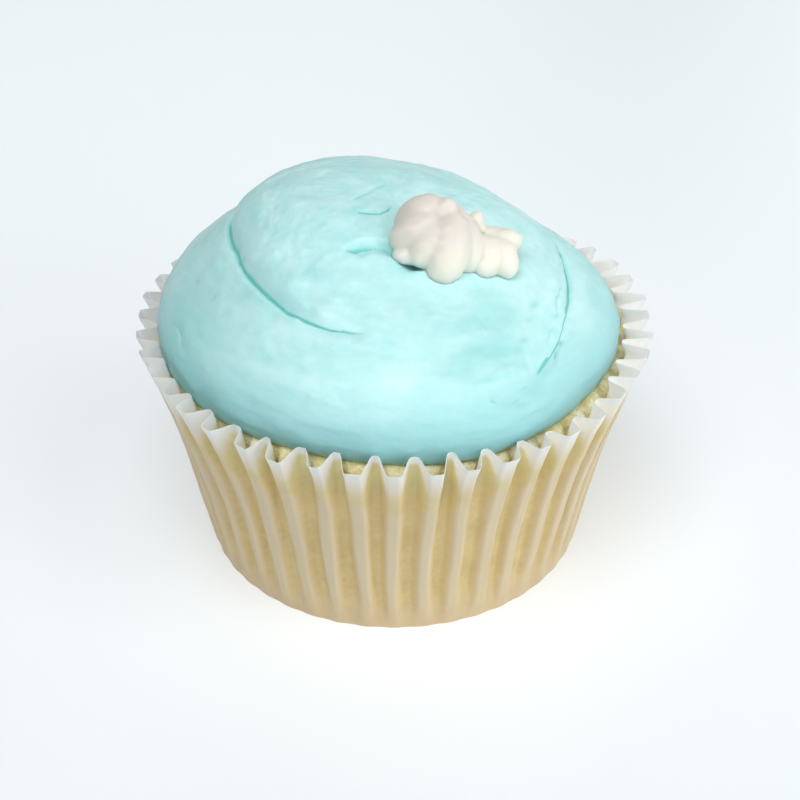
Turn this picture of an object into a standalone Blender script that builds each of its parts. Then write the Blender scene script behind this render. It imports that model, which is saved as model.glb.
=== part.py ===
"""A cupcake in a pleated paper cup, with swirled buttercream and a piped cream rosette.

Blender 4.5, metres, +Z up. The origin is the centre of the cup's flat base.
The paper cup, the sponge, the buttercream and the rosette are separate solids
which keep a small gap where they touch.
"""

import math

import bpy
from mathutils import Vector

MM = 0.001

# Where two pieces meet they keep this gap.
TOUCH_GAP = 0.3 * MM

# Paper cup: a flat disc and a flaring wall pleated into flutes.
CUP_HEIGHT = 30.0 * MM
CUP_BASE_RADIUS = 25.0 * MM
FLAT_BASE_RADIUS = 24.5 * MM
CUP_FLARE = 0.19
RIM_CURL_START = 13.4 * MM
RIM_CURL = 7.0
PAPER_THICKNESS = 0.4 * MM
FLUTE_COUNT = 44
COLUMNS_PER_FLUTE = 4
RIDGE_RIM_DROP = 0.3 * MM
FOLD_RIM_RISE = 0.5 * MM
CUP_ROWS = [z * MM for z in (0.0, 4.0, 12.0, 20.0, 25.5, 30.0)]

# Depth of a pleat, and how narrow its outer ridge is (1 is a plain wave), by height.
PLEAT_DEPTHS = [(0.0, 0.5 * MM), (5 * MM, 1.0 * MM), (20 * MM, 1.2 * MM),
                (26.5 * MM, 2.0 * MM), (30 * MM, 2.6 * MM)]
RIDGE_SHARPNESS = [(0.0, 1.0), (5 * MM, 2.5), (18 * MM, 2.5), (30 * MM, 0.6)]

# Sponge: fills the cup and rises in a low dome.
SPONGE_SHOULDER = 26.5 * MM
SPONGE_RISE = 5.0 * MM
SPONGE_DOME_POWER = 2.6
SPONGE_EDGE_POWER = 0.55
DOME_SIDES = 64
SPONGE_BASE = PAPER_THICKNESS + TOUCH_GAP
SPONGE_WALL_ROWS = 5
SPONGE_TOP_ROWS = 5

# Buttercream: a tall dome, lopsided, with one spiral ledge left by the palette knife.
ICING_RADIUS = 29.15 * MM
ICING_OFFSET_X = -0.84 * MM
ICING_LEAN = -0.38 * MM
ICING_OVAL = -0.79 * MM
ICING_EDGE_HEIGHT = 31.0 * MM
ICING_FOOT_HEIGHT = 28.8 * MM
ICING_FOOT_TUCK = 1.0 * MM
ICING_RISE = 16.3 * MM
ICING_DOME_POWER = 1.71
ICING_EDGE_POWER = 1 / 1.84
ICING_TILT = Vector((-0.187, 0.085))
ICING_INNER_ROWS = [r * MM for r in (0.0, 3.5, 7.0, 10.5, 13.5, 15.8, 18.1, 18.95)]
ICING_OUTER_ROWS = [r * MM for r in (20.2, 22.2, 24.5, 26.7, 28.3, 29.15)]
ICING_FOOT_ROWS = [0.25, 0.6, 1.0]
ICING_UNDER_RADIUS = 27.5 * MM
OVERHANG_SLOPE = 2.0

# The ledge runs clockwise from the front, out to the rim on the right. Turns are in
# degrees clockwise from its start, each pair being where a change begins and ends.
LEDGE_START_ANGLE = math.radians(265)
LEDGE_INNER_RADIUS = 19.3 * MM
LEDGE_BACK_STEP = 2.2 * MM
LEDGE_BACK_TURNS = (85, 130)
LEDGE_RIGHT_STEP = 7.2 * MM
LEDGE_RIGHT_TURNS = (262, 352)
LEDGE_WIDTH = 3.5 * MM
LEDGE_DROP = 2.3 * MM
LEDGE_GROWING_TURNS = (-5, 85)
LEDGE_EASING_TURNS = (180, 280)
LEDGE_EASING = 0.45
LEDGE_ENDING_TURNS = (300, 355)
GUIDE_RETURN_TURNS = (325, 358)
LEDGE_RIM_FADE = 8

# The dip where the palette knife left the icing.
DIP_CENTRE = Vector((-1.5, -9.5)) * MM
DIP_RADIUS = 5.0 * MM
DIP_DEPTH = 1.5 * MM
DIP_STEEPNESS = 4

# Rosette: a large twisted drop and a small star beside it. Centre, foot, height, radius
# and the lean of the tip are in millimetres, twist and the first lobe in degrees.
DROP_SIDES = 30
DROP_ROWS = 7
DROP_DOME_POWER = 2.8
DROP_EDGE_POWER = 0.6
DROP_FOOT_LIP = 0.5
DROP_FOOT_SHARE = 0.8
LOBE_ROUNDNESS = 0.6
LEAN_POWER = 1.5
LARGE_DROP = dict(centre=(4.7, -7.3), foot=39.0, height=12.0, radius=6.0, lobes=5,
                  lobe_depth=0.10, twist=70, first=20, lean=(1.0, 0.6))
SMALL_STAR = dict(centre=(11.2, -5.8), foot=37.5, height=9.9, radius=4.5, lobes=5,
                  lobe_depth=0.20, twist=20, first=-20, lean=(0.2, 0.4))

MERGE_DISTANCE = 0.00001


def blend(pairs, position):
    """Straight-line blend through (position, value) pairs."""
    for (low, low_value), (high, high_value) in zip(pairs, pairs[1:]):
        if position <= high:
            share = max(0.0, position - low) / (high - low)
            return low_value + share * (high_value - low_value)
    return pairs[-1][1]


def ease(start, end, value):
    """0 below start, 1 above end, with a soft ramp between."""
    share = min(1.0, max(0.0, (value - start) / (end - start)))
    return share * share * (3 - 2 * share)


def clear_scene():
    for thing in list(bpy.data.objects):
        bpy.data.objects.remove(thing, do_unlink=True)


def make_collection(name):
    collection = bpy.data.collections.new(name)
    bpy.context.scene.collection.children.link(collection)
    return collection


def make_material(name, colour, roughness):
    material = bpy.data.materials.new(name)
    material.use_nodes = True
    shader = material.node_tree.nodes["Principled BSDF"]
    shader.inputs["Base Color"].default_value = (*colour, 1.0)
    shader.inputs["Roughness"].default_value = roughness
    shader.inputs["Metallic"].default_value = 0.0
    return material


def turned(name, profile, sides, collection):
    """A profile in the XZ plane, turned round Z by a Screw modifier and kept as a mesh."""
    mesh = bpy.data.meshes.new(name)
    corners = [(radius, 0.0, height) for radius, height in profile]
    mesh.from_pydata(corners, [(i, i + 1) for i in range(len(corners) - 1)], [])
    piece = bpy.data.objects.new(name, mesh)
    collection.objects.link(piece)
    screw = piece.modifiers.new("Turn", "SCREW")
    screw.steps = sides
    screw.render_steps = sides
    screw.use_merge_vertices = True
    screw.merge_threshold = MERGE_DISTANCE
    screw.use_normal_calculate = False
    depsgraph = bpy.context.evaluated_depsgraph_get()
    solid = bpy.data.meshes.new_from_object(piece.evaluated_get(depsgraph))
    piece.modifiers.clear()
    piece.data = solid
    bpy.data.meshes.remove(mesh)
    solid.name = name
    return piece


def reshape(piece, rule):
    """Move each vertex of a piece to where the rule puts it."""
    for vertex in piece.data.vertices:
        vertex.co = rule(vertex.co)
    piece.data.update()


def finish(piece, material):
    piece.data.materials.clear()
    piece.data.materials.append(material)
    piece.data.shade_smooth()
    piece.data.set_sharp_from_angle(angle=math.radians(50))


def ridge_radius(height):
    """Radius of the wall's outer ridges."""
    curl = max(0.0, height - RIM_CURL_START)
    return CUP_BASE_RADIUS + CUP_FLARE * height + RIM_CURL * curl * curl


def fold_radius(height):
    """Radius of the wall's inner folds."""
    return ridge_radius(height) - blend(PLEAT_DEPTHS, height)


def pleated(point):
    """Press the turned wall into flutes, and leave the flat base alone."""
    radius = math.hypot(point.x, point.y)
    if radius < FLAT_BASE_RADIUS:
        return point
    angle = math.atan2(point.y, point.x)
    crest = 0.5 + 0.5 * math.cos(FLUTE_COUNT * angle)
    height = point.z
    share = crest ** blend(RIDGE_SHARPNESS, height)
    depth = blend(PLEAT_DEPTHS, height)
    new_radius = fold_radius(height) + depth * share
    rim = ease(0.5, 1.0, height / CUP_HEIGHT)
    height += rim * (FOLD_RIM_RISE - (FOLD_RIM_RISE + RIDGE_RIM_DROP) * crest)
    return Vector((new_radius * math.cos(angle), new_radius * math.sin(angle), height))


def make_paper_cup(collection):
    profile = [(ridge_radius(z), z) for z in reversed(CUP_ROWS)]
    profile.append((0.0, 0.0))
    cup = turned("paper_cup", profile, FLUTE_COUNT * COLUMNS_PER_FLUTE, collection)
    reshape(cup, pleated)
    wall = cup.modifiers.new("Paper", "SOLIDIFY")
    wall.thickness = PAPER_THICKNESS
    wall.offset = -1.0
    finish(cup, make_material("Greaseproof paper", (0.80, 0.74, 0.62), 0.55))
    return cup


def sponge_radius(height):
    return fold_radius(height) - PAPER_THICKNESS - TOUCH_GAP


def sponge_top(radius):
    """Height of the sponge's domed top."""
    share = min(1.0, radius / sponge_radius(SPONGE_SHOULDER))
    return SPONGE_SHOULDER + SPONGE_RISE * (1 - share ** SPONGE_DOME_POWER) ** SPONGE_EDGE_POWER


def sponge_dome_rows():
    """Radius and height of each row of the domed top, from its centre outwards."""
    shoulder = sponge_radius(SPONGE_SHOULDER)
    radii = [shoulder * math.sin(math.pi / 2 * row / SPONGE_TOP_ROWS)
             for row in range(SPONGE_TOP_ROWS)]
    return [(radius, sponge_top(radius)) for radius in radii]


def make_sponge(collection):
    profile = sponge_dome_rows()
    for row in range(SPONGE_WALL_ROWS + 1):
        height = SPONGE_SHOULDER + (SPONGE_BASE - SPONGE_SHOULDER) * row / SPONGE_WALL_ROWS
        profile.append((sponge_radius(height), height))
    profile.append((0.0, SPONGE_BASE))
    sponge = turned("sponge_cake", profile, DOME_SIDES, collection)
    finish(sponge, make_material("Vanilla sponge", (0.72, 0.52, 0.20), 0.8))
    return sponge


def plain_dome(share):
    """Height of the icing's dome, before the knife, at a share of its radius."""
    return ICING_EDGE_HEIGHT + ICING_RISE * (1 - share ** ICING_DOME_POWER) ** ICING_EDGE_POWER


def ledge_radius(turn):
    """Radius of the spiral ledge, at degrees clockwise from its start."""
    back = LEDGE_BACK_STEP * ease(*LEDGE_BACK_TURNS, turn)
    right = LEDGE_RIGHT_STEP * ease(*LEDGE_RIGHT_TURNS, turn)
    return LEDGE_INNER_RADIUS + back + right


def ledge_drop(turn):
    """How far the surface steps down outside the ledge."""
    growing = ease(*LEDGE_GROWING_TURNS, turn)
    easing = 1 - LEDGE_EASING * ease(*LEDGE_EASING_TURNS, turn)
    ending = 1 - ease(*LEDGE_ENDING_TURNS, turn)
    return LEDGE_DROP * growing * easing * ending


def turn_from_start(x, y):
    """Degrees clockwise from where the ledge starts."""
    return math.degrees((LEDGE_START_ANGLE - math.atan2(y, x)) % (2 * math.pi))


def knife_marks(x, y, share):
    """What the palette knife adds to the plain dome's height."""
    turn = turn_from_start(x, y)
    inside = (ledge_radius(turn) - math.hypot(x, y)) / LEDGE_WIDTH
    inside = min(1.0, max(0.0, inside))
    lowered = 1 - math.sqrt(inside * (2 - inside))
    rim_fade = 1 - share ** LEDGE_RIM_FADE
    from_dip = (Vector((x, y)) - DIP_CENTRE).length / DIP_RADIUS
    dip = DIP_DEPTH * math.exp(-from_dip ** DIP_STEEPNESS)
    tilt = (1 - share * share) * ICING_TILT.dot((x, y))
    return tilt - ledge_drop(turn) * lowered * rim_fade - dip


def icing_limit(height):
    """Largest radius the icing may have, inside the paper's folds and over its rim."""
    inside = fold_radius(min(height, CUP_HEIGHT)) - PAPER_THICKNESS - TOUCH_GAP
    above = max(0.0, height - CUP_HEIGHT - FOLD_RIM_RISE)
    return inside + OVERHANG_SLOPE * above


def follow_ledge(radius, angle):
    """Stretch the dome's rows so that one of them runs along the ledge's foot."""
    turn = turn_from_start(math.cos(angle), math.sin(angle))
    outward = ledge_radius(turn) - LEDGE_INNER_RADIUS
    outward *= 1 - ease(*GUIDE_RETURN_TURNS, turn)
    ledge = LEDGE_INNER_RADIUS + outward - ICING_OFFSET_X * math.cos(angle)
    if radius <= LEDGE_INNER_RADIUS:
        return radius * ledge / LEDGE_INNER_RADIUS
    share = (ICING_RADIUS - radius) / (ICING_RADIUS - LEDGE_INNER_RADIUS)
    return ICING_RADIUS - share * (ICING_RADIUS - ledge)


def swirled(point):
    """Turn the plain dome into the lopsided, knife-marked one; the underside stays."""
    radius = math.hypot(point.x, point.y)
    if point.z < sponge_top(radius) + 2 * TOUCH_GAP and radius < ICING_UNDER_RADIUS:
        return point
    angle = math.atan2(point.y, point.x)
    on_top = point.z > ICING_EDGE_HEIGHT
    if on_top:
        radius = follow_ledge(radius, angle)
    share = min(1.0, radius / ICING_RADIUS)
    lopsided = ICING_LEAN * math.sin(angle) + ICING_OVAL * math.sin(2 * angle)
    outward = radius + lopsided * share * share
    place = Vector((outward * math.cos(angle) + ICING_OFFSET_X, outward * math.sin(angle)))
    if place.length > icing_limit(point.z):
        place *= icing_limit(point.z) / place.length
    height = point.z
    if on_top:
        height = plain_dome(share) + knife_marks(place.x, place.y, share)
    return Vector((place.x, place.y, height))


def make_buttercream(collection):
    top_rows = ICING_INNER_ROWS + [LEDGE_INNER_RADIUS] + ICING_OUTER_ROWS
    profile = [(radius, plain_dome(radius / ICING_RADIUS)) for radius in top_rows]
    for share in ICING_FOOT_ROWS:
        tuck = ICING_FOOT_TUCK * (1 - math.sqrt(1 - share * share))
        drop = (ICING_EDGE_HEIGHT - ICING_FOOT_HEIGHT) * share
        profile.append((ICING_RADIUS - tuck, ICING_EDGE_HEIGHT - drop))
    for radius, height in reversed(sponge_dome_rows()):
        profile.append((radius, height + TOUCH_GAP))
    icing = turned("buttercream_swirl", profile, DOME_SIDES, collection)
    reshape(icing, swirled)
    finish(icing, make_material("Turquoise buttercream", (0.35, 0.80, 0.76), 0.45))
    return icing


def piped_drop(name, collection, centre, foot, height, radius, lobes,
               lobe_depth, twist, first, lean):
    """A star-nozzle drop: lobes that twist as it rises and close at a leaning tip."""
    profile = [(0.0, height * MM)]
    for row in range(1, DROP_ROWS + 1):
        share = math.sin(math.pi / 2 * row / DROP_ROWS)
        level = height * (1 - share ** DROP_DOME_POWER) ** DROP_EDGE_POWER
        profile.append((radius * share * MM, level * MM))
    profile[-1] = (radius * MM, DROP_FOOT_LIP * MM)
    profile.append((radius * DROP_FOOT_SHARE * MM, 0.0))
    profile.append((0.0, 0.0))
    drop = turned(name, profile, DROP_SIDES, collection)

    def lobed(point):
        level = point.z / (height * MM)
        angle = math.atan2(point.y, point.x)
        wave = math.cos(lobes * (angle - math.radians(first + twist * level)))
        lobe = abs(0.5 + 0.5 * wave) ** LOBE_ROUNDNESS
        grow = 1 + lobe_depth * (2 * lobe - 1.2)
        shift = Vector(lean) * MM * level ** LEAN_POWER
        x = centre[0] * MM + point.x * grow + shift.x
        y = centre[1] * MM + point.y * grow + shift.y
        return Vector((x, y, foot * MM + point.z))

    reshape(drop, lobed)
    return drop


def make_guide(piece):
    """Mark a piece as a cutter, which is not part of the model."""
    piece.hide_render = True
    piece.display_type = "WIRE"


def add_boolean(piece, operation, other):
    """Cut or join with another piece; use_self copes with the drops running together."""
    boolean = piece.modifiers.new(operation.title(), "BOOLEAN")
    boolean.operation = operation
    boolean.solver = "EXACT"
    boolean.use_self = True
    boolean.object = other


def make_rosette(collection, cutters, icing):
    rosette = piped_drop("cream_rosette", collection, **LARGE_DROP)
    star = piped_drop("small_star", cutters, **SMALL_STAR)
    seat = bpy.data.objects.new("rosette_seat", icing.data.copy())
    cutters.objects.link(seat)
    for vertex in seat.data.vertices:
        vertex.co.z += TOUCH_GAP
    make_guide(star)
    make_guide(seat)
    add_boolean(rosette, "UNION", star)
    add_boolean(rosette, "DIFFERENCE", seat)
    finish(rosette, make_material("White cream", (0.88, 0.86, 0.74), 0.5))
    return rosette


def main():
    clear_scene()
    cupcake = make_collection("Cupcake")
    cutters = make_collection("Cutters")
    make_paper_cup(cupcake)
    make_sponge(cupcake)
    icing = make_buttercream(cupcake)
    make_rosette(cupcake, cutters, icing)


main()
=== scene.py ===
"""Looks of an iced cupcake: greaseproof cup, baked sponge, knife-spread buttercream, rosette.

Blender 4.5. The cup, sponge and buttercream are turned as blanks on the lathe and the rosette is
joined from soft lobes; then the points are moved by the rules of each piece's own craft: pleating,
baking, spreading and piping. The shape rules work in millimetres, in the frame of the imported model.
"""
import math

import bpy
import numpy as np
from bpy.props import FloatProperty, FloatVectorProperty, IntProperty, PointerProperty
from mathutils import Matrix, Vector


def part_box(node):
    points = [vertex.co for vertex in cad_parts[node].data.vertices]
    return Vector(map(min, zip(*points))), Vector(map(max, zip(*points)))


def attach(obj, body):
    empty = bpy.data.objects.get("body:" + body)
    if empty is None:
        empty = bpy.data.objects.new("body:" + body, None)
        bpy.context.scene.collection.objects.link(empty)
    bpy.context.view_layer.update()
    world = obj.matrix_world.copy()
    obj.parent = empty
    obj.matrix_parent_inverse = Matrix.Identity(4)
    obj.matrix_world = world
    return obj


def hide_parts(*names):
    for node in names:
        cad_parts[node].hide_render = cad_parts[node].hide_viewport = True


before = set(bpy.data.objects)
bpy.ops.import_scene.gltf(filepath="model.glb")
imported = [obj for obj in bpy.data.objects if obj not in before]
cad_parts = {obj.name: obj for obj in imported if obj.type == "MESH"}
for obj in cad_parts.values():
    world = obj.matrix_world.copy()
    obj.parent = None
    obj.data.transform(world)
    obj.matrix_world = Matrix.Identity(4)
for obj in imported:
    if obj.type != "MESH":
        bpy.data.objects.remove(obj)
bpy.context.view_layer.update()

bl_info = {
    "name": "Iced Cupcake",
    "version": (1, 0, 0),
    "blender": (4, 5, 0),
    "location": "3D View > Sidebar > Cupcake",
    "description": "Builds an iced cupcake in its paper cup, piece by piece",
    "category": "Add Mesh",
}

MM = 0.001
CUP_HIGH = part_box("paper_cup")[1]
ICING_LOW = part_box("buttercream_swirl")[0]

# Paper cup, in millimetres. The tips of the inner folds are the cup's highest points.
FOLD_RIM_RISE = 0.5
RIDGE_RIM_DROP = 0.3
SIDE_RIDGE_RISE = 1.0
RIGHT_FOLD_LEAN = 1.1
FRONT_RIGHT_SAG = 0.9
CUP_HEIGHT = CUP_HIGH.z / MM - FOLD_RIM_RISE
BASE_RADIUS = 25.0
FLAT_BASE_RADIUS = 24.3
CUP_FLARE = 0.19
RIM_CURL_START = 13.4
RIM_CURL = 0.007
PLEAT_HEIGHTS = [0.0, 2.0, 6.0, 20.0, 26.5, 30.0]
PLEAT_DEPTHS = [0.12, 0.35, 1.0, 1.25, 2.0, 2.6]
# Half widths as shares of half a flute: where the ridge's flat ends and the fold's starts.
RIDGE_HEIGHTS = [0.0, 6.0, 20.0, 30.0]
RIDGE_FLATS = [0.10, 0.22, 0.26, 0.30]
FOLD_STARTS = [0.90, 0.74, 0.74, 0.86]
COLUMNS_PER_FLUTE = 18
WALL_ROWS = 60

# Sponge, in millimetres.
SPONGE_SHOULDER = 26.8
SPONGE_RISE = 4.7
SPONGE_BASE = 0.2

# Buttercream dome, in millimetres.
ICING_RADIUS = 29.15
ICING_OFFSET = -0.84
ICING_LEAN = -0.38
ICING_OVAL = -0.79
ICING_DRAWN_IN = 1.0
ICING_EDGE_HEIGHT = 31.0
ICING_FOOT_HEIGHT = ICING_LOW.z / MM + 0.2
ICING_FOOT_TUCK = 1.0
# Degrees round the cake and the radius of the icing's foot there.
ICING_FOOT = [(-180, 29.3), (-163, 29.5), (-150, 29.1), (-136, 28.6), (-113, 28.1), (-97, 28.5),
              (-82, 29.1), (-71, 29.3), (-58, 28.2), (-51, 28.0), (-36, 27.6), (-20, 28.0),
              (40, 28.5), (110, 28.4), (180, 29.3)]
ICING_RISE = 16.3
ICING_DOME_POWER = 1.71
ICING_EDGE_POWER = 1 / 1.84
ICING_TILT_X = -0.187
ICING_TILT_Y = 0.085
ICING_UNDER_RADIUS = 27.2

# The spiral ledge: turns are degrees clockwise from its start at the front.
LEDGE_START_ANGLE = math.radians(265)
LEDGE_INNER_RADIUS = 19.3
LEDGE_WIDTH = 3.5


def ease(start, end, value):
    """0 below start, 1 above end, with a soft ramp between."""
    share = np.clip((value - start) / (end - start), 0.0, 1.0)
    return share * share * (3.0 - 2.0 * share)


def relief(along, across, seed, wrap=64):
    """Soft random hills from -1 to 1, one to a unit; along repeats after wrap units."""
    table = np.random.default_rng(seed).uniform(-1.0, 1.0, (wrap, 64))
    low_along = np.floor(along).astype(int)
    low_across = np.floor(across).astype(int)
    part_along = along - low_along
    part_across = across - low_across
    part_along = part_along * part_along * (3.0 - 2.0 * part_along)
    part_across = part_across * part_across * (3.0 - 2.0 * part_across)

    def corner(step_along, step_across):
        return table[(low_along + step_along) % wrap, (low_across + step_across) % 64]

    near = corner(0, 0) * (1.0 - part_along) + corner(1, 0) * part_along
    far = corner(0, 1) * (1.0 - part_along) + corner(1, 1) * part_along
    return near * (1.0 - part_across) + far * part_across


def deselect_all():
    if bpy.context.mode != "OBJECT":
        bpy.ops.object.mode_set(mode="OBJECT")
    bpy.ops.object.select_all(action="DESELECT")


def lathe(name, profile, sides):
    """A blank turned round Z from (radius, height) pairs in millimetres, top first."""
    deselect_all()
    radius, height = profile[0]
    bpy.ops.mesh.primitive_plane_add(size=MM, location=(radius * MM, 0.0, height * MM))
    blank = bpy.context.active_object
    blank.name = name
    blank.data.name = name
    bpy.ops.object.mode_set(mode="EDIT")
    bpy.ops.mesh.select_all(action="SELECT")
    bpy.ops.mesh.merge(type="CENTER")
    for (radius, height), (next_radius, next_height) in zip(profile, profile[1:]):
        step = ((next_radius - radius) * MM, 0.0, (next_height - height) * MM)
        bpy.ops.mesh.extrude_region_move(TRANSFORM_OT_translate={"value": step})
    bpy.ops.object.mode_set(mode="OBJECT")
    bpy.ops.object.transform_apply(location=True, rotation=True, scale=True)
    apply_modifier(blank, "SCREW", steps=sides, render_steps=sides, use_merge_vertices=True,
                   merge_threshold=0.000002)
    bpy.ops.object.mode_set(mode="EDIT")
    bpy.ops.mesh.select_all(action="SELECT")
    bpy.ops.mesh.remove_doubles(threshold=0.000002)
    bpy.ops.mesh.normals_make_consistent(inside=False)
    bpy.ops.object.mode_set(mode="OBJECT")
    return blank


def points_of(piece):
    """The piece's points as three arrays, in millimetres."""
    flat = np.empty(len(piece.data.vertices) * 3)
    piece.data.vertices.foreach_get("co", flat)
    return flat.reshape(-1, 3).T / MM


def reshape(piece, rule):
    """Move every point of a piece to where the rule puts it."""
    moved = np.stack(rule(*points_of(piece)), axis=1) * MM
    piece.data.vertices.foreach_set("co", moved.ravel())
    piece.data.update()


def paint(piece, name, values):
    """Store one number for each point, for a material to read."""
    attribute = piece.data.attributes.new(name, "FLOAT", "POINT")
    attribute.data.foreach_set("value", np.asarray(values, dtype=np.float32))


def apply_modifier(piece, kind, **settings):
    deselect_all()
    bpy.context.view_layer.objects.active = piece
    piece.select_set(True)
    modifier = piece.modifiers.new(kind.title(), kind)
    for name, value in settings.items():
        setattr(modifier, name, value)
    bpy.ops.object.modifier_apply(modifier=modifier.name)


def hollows(piece, rounds):
    """How hollow the surface is at each point, smoothed over some rounds of neighbours."""
    mesh = piece.data
    points = points_of(piece).T
    normals = np.empty(len(mesh.vertices) * 3)
    mesh.vertices.foreach_get("normal", normals)
    edges = np.empty(len(mesh.edges) * 2, dtype=int)
    mesh.edges.foreach_get("vertices", edges)
    start, end = edges.reshape(-1, 2).T
    count = np.bincount(edges, minlength=len(points))
    step = points[end] - points[start]
    bend = np.einsum("ij,ij->i", step, normals.reshape(-1, 3)[start])
    bend_back = np.einsum("ij,ij->i", -step, normals.reshape(-1, 3)[end])
    square = np.einsum("ij,ij->i", step, step)
    hollow = np.bincount(start, bend / square, len(points))
    hollow += np.bincount(end, bend_back / square, len(points))
    hollow = 2.0 * hollow / count
    for _ in range(rounds):
        spread = np.bincount(start, hollow[end], len(points))
        spread += np.bincount(end, hollow[start], len(points))
        hollow = 0.4 * hollow + 0.6 * spread / count
    return hollow


def finish_piece(piece, material, slot, *nodes):
    """Shade a piece, give it its material and hand it to the frame."""
    piece.data.materials.clear()
    piece.data.materials.append(material)
    piece.data.shade_smooth()
    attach(piece, "root")
    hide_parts(*nodes)


# ---------------------------------------------------------------- paper cup

def ridge_radius(height):
    """Radius of the wall's outer ridges."""
    curl = np.maximum(0.0, height - RIM_CURL_START)
    return BASE_RADIUS + CUP_FLARE * height + RIM_CURL * curl * curl


def pleat_depth(height):
    return np.interp(height, PLEAT_HEIGHTS, PLEAT_DEPTHS)


def fold_radius(height):
    """Radius of the wall's inner folds."""
    return ridge_radius(height) - pleat_depth(height)


def ridge_share(place, height, uneven):
    """1 on the flat of a ridge and 0 in the folds; place counts the flutes round the cup."""
    off_ridge = 2.0 * np.abs(place - np.round(place))
    flat = np.interp(height, RIDGE_HEIGHTS, RIDGE_FLATS) + 0.10 * uneven
    fold = np.interp(height, RIDGE_HEIGHTS, FOLD_STARTS) + 0.06 * uneven
    return 1.0 - ease(0.0, 1.0, (off_ridge - flat) / (fold - flat))


def sponge_fill(height, uneven):
    """How much of each ridge the risen sponge fills out, as a share of the pleat's depth."""
    band = 23.6 + 0.8 * uneven
    return 0.82 * ease(29.6, band + 1.0, height) - 0.58 * ease(band, band - 2.2, height)


def make_cup(context):
    sizes = context.scene.cupcake_sizes
    flutes = sizes.flutes
    rows = np.linspace(0.0, 1.0, WALL_ROWS) ** 1.2
    profile = [(ridge_radius(z), z) for z in CUP_HEIGHT * (1.0 - rows)]
    profile += [(radius, 0.0) for radius in (FLAT_BASE_RADIUS, 18.0, 9.0, 0.0)]
    cup = lathe("greaseproof_cup", profile, flutes * COLUMNS_PER_FLUTE)
    x, y, z = points_of(cup)
    angle = np.arctan2(y, x)
    wall = np.hypot(x, y) > FLAT_BASE_RADIUS + 0.1
    place = angle * flutes / math.tau
    whole = np.round(place)
    uneven = relief(whole * 1.0, z / 14.0, 11, flutes)
    share = ridge_share(place, z, uneven)
    depth = pleat_depth(z) * (1.0 + 0.12 * relief(whole * 1.0, z / 11.0, 12, flutes))
    wrinkle = 0.05 * relief(place * 3.0, z / 1.6, 13, flutes * 3) * ease(17.0, 22.0, z)
    crinkle = 0.03 * relief(place * 5.0, z / 0.9, 14, flutes * 5) + wrinkle
    right_side = 1.0 - ease(45, 65, np.abs(np.degrees(angle) - 25.0))
    lean = RIGHT_FOLD_LEAN * right_side * (1.0 - share) * ease(28.4, 30.4, z)
    radius = fold_radius(z) + depth * share + crinkle * ease(0.5, 4.0, z) - lean
    sway = 0.09 * relief(place, z / 13.0, 15, flutes) + 0.03 * relief(place, z / 4.0, 16, flutes)
    turned_angle = angle + sway * math.tau / flutes * ease(0.5, 5.0, z)
    rim = ease(0.6, 1.0, z / CUP_HEIGHT)
    jagged = 0.22 * relief(place * 2.0, z * 0.0, 17, flutes * 2)
    off_front = np.abs((np.degrees(angle) - 90.0) % 360.0 - 180.0)
    raised = SIDE_RIDGE_RISE * ease(18, 48, off_front) * (1.0 - ease(105, 140, off_front))
    sag = FRONT_RIGHT_SAG * np.exp(-((np.degrees(angle) + 46.0) / 16.0) ** 2)
    lift = rim * (FOLD_RIM_RISE - (FOLD_RIM_RISE + RIDGE_RIM_DROP - raised) * share + jagged - sag)

    def pleat(x, y, z):
        return (np.where(wall, radius * np.cos(turned_angle), x),
                np.where(wall, radius * np.sin(turned_angle), y),
                np.where(wall, z + lift, z))

    reshape(cup, pleat)
    gap = depth * (share - sponge_fill(z, relief(place, z * 0.0, 18, flutes)))
    dry_from = 28.3 - 1.2 * ease(30, 60, off_front)
    gap = gap + 1.6 * ease(dry_from, dry_from + 1.9, z)
    gap = gap + 0.06 * relief(place * 4.0, z / 0.7, 19, flutes * 4)
    paint(cup, "soak", np.where(wall, 1.0 - ease(-0.05, 0.85, gap), 1.0))
    apply_modifier(cup, "SOLIDIFY", thickness=sizes.paper_thickness, offset=-1.0)
    finish_piece(cup, paper_material(context), "paper", "paper_cup")
    cup.data.set_sharp_from_angle(angle=math.radians(70.0))


# ---------------------------------------------------------------- sponge

def sponge_radius(height):
    return fold_radius(height) - 0.2


def sponge_top(radius):
    """Height of the sponge's domed top."""
    share = np.clip(radius / sponge_radius(SPONGE_SHOULDER), 0.0, 1.0)
    return SPONGE_SHOULDER + SPONGE_RISE * (1.0 - share ** 2.8) ** 0.40


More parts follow.
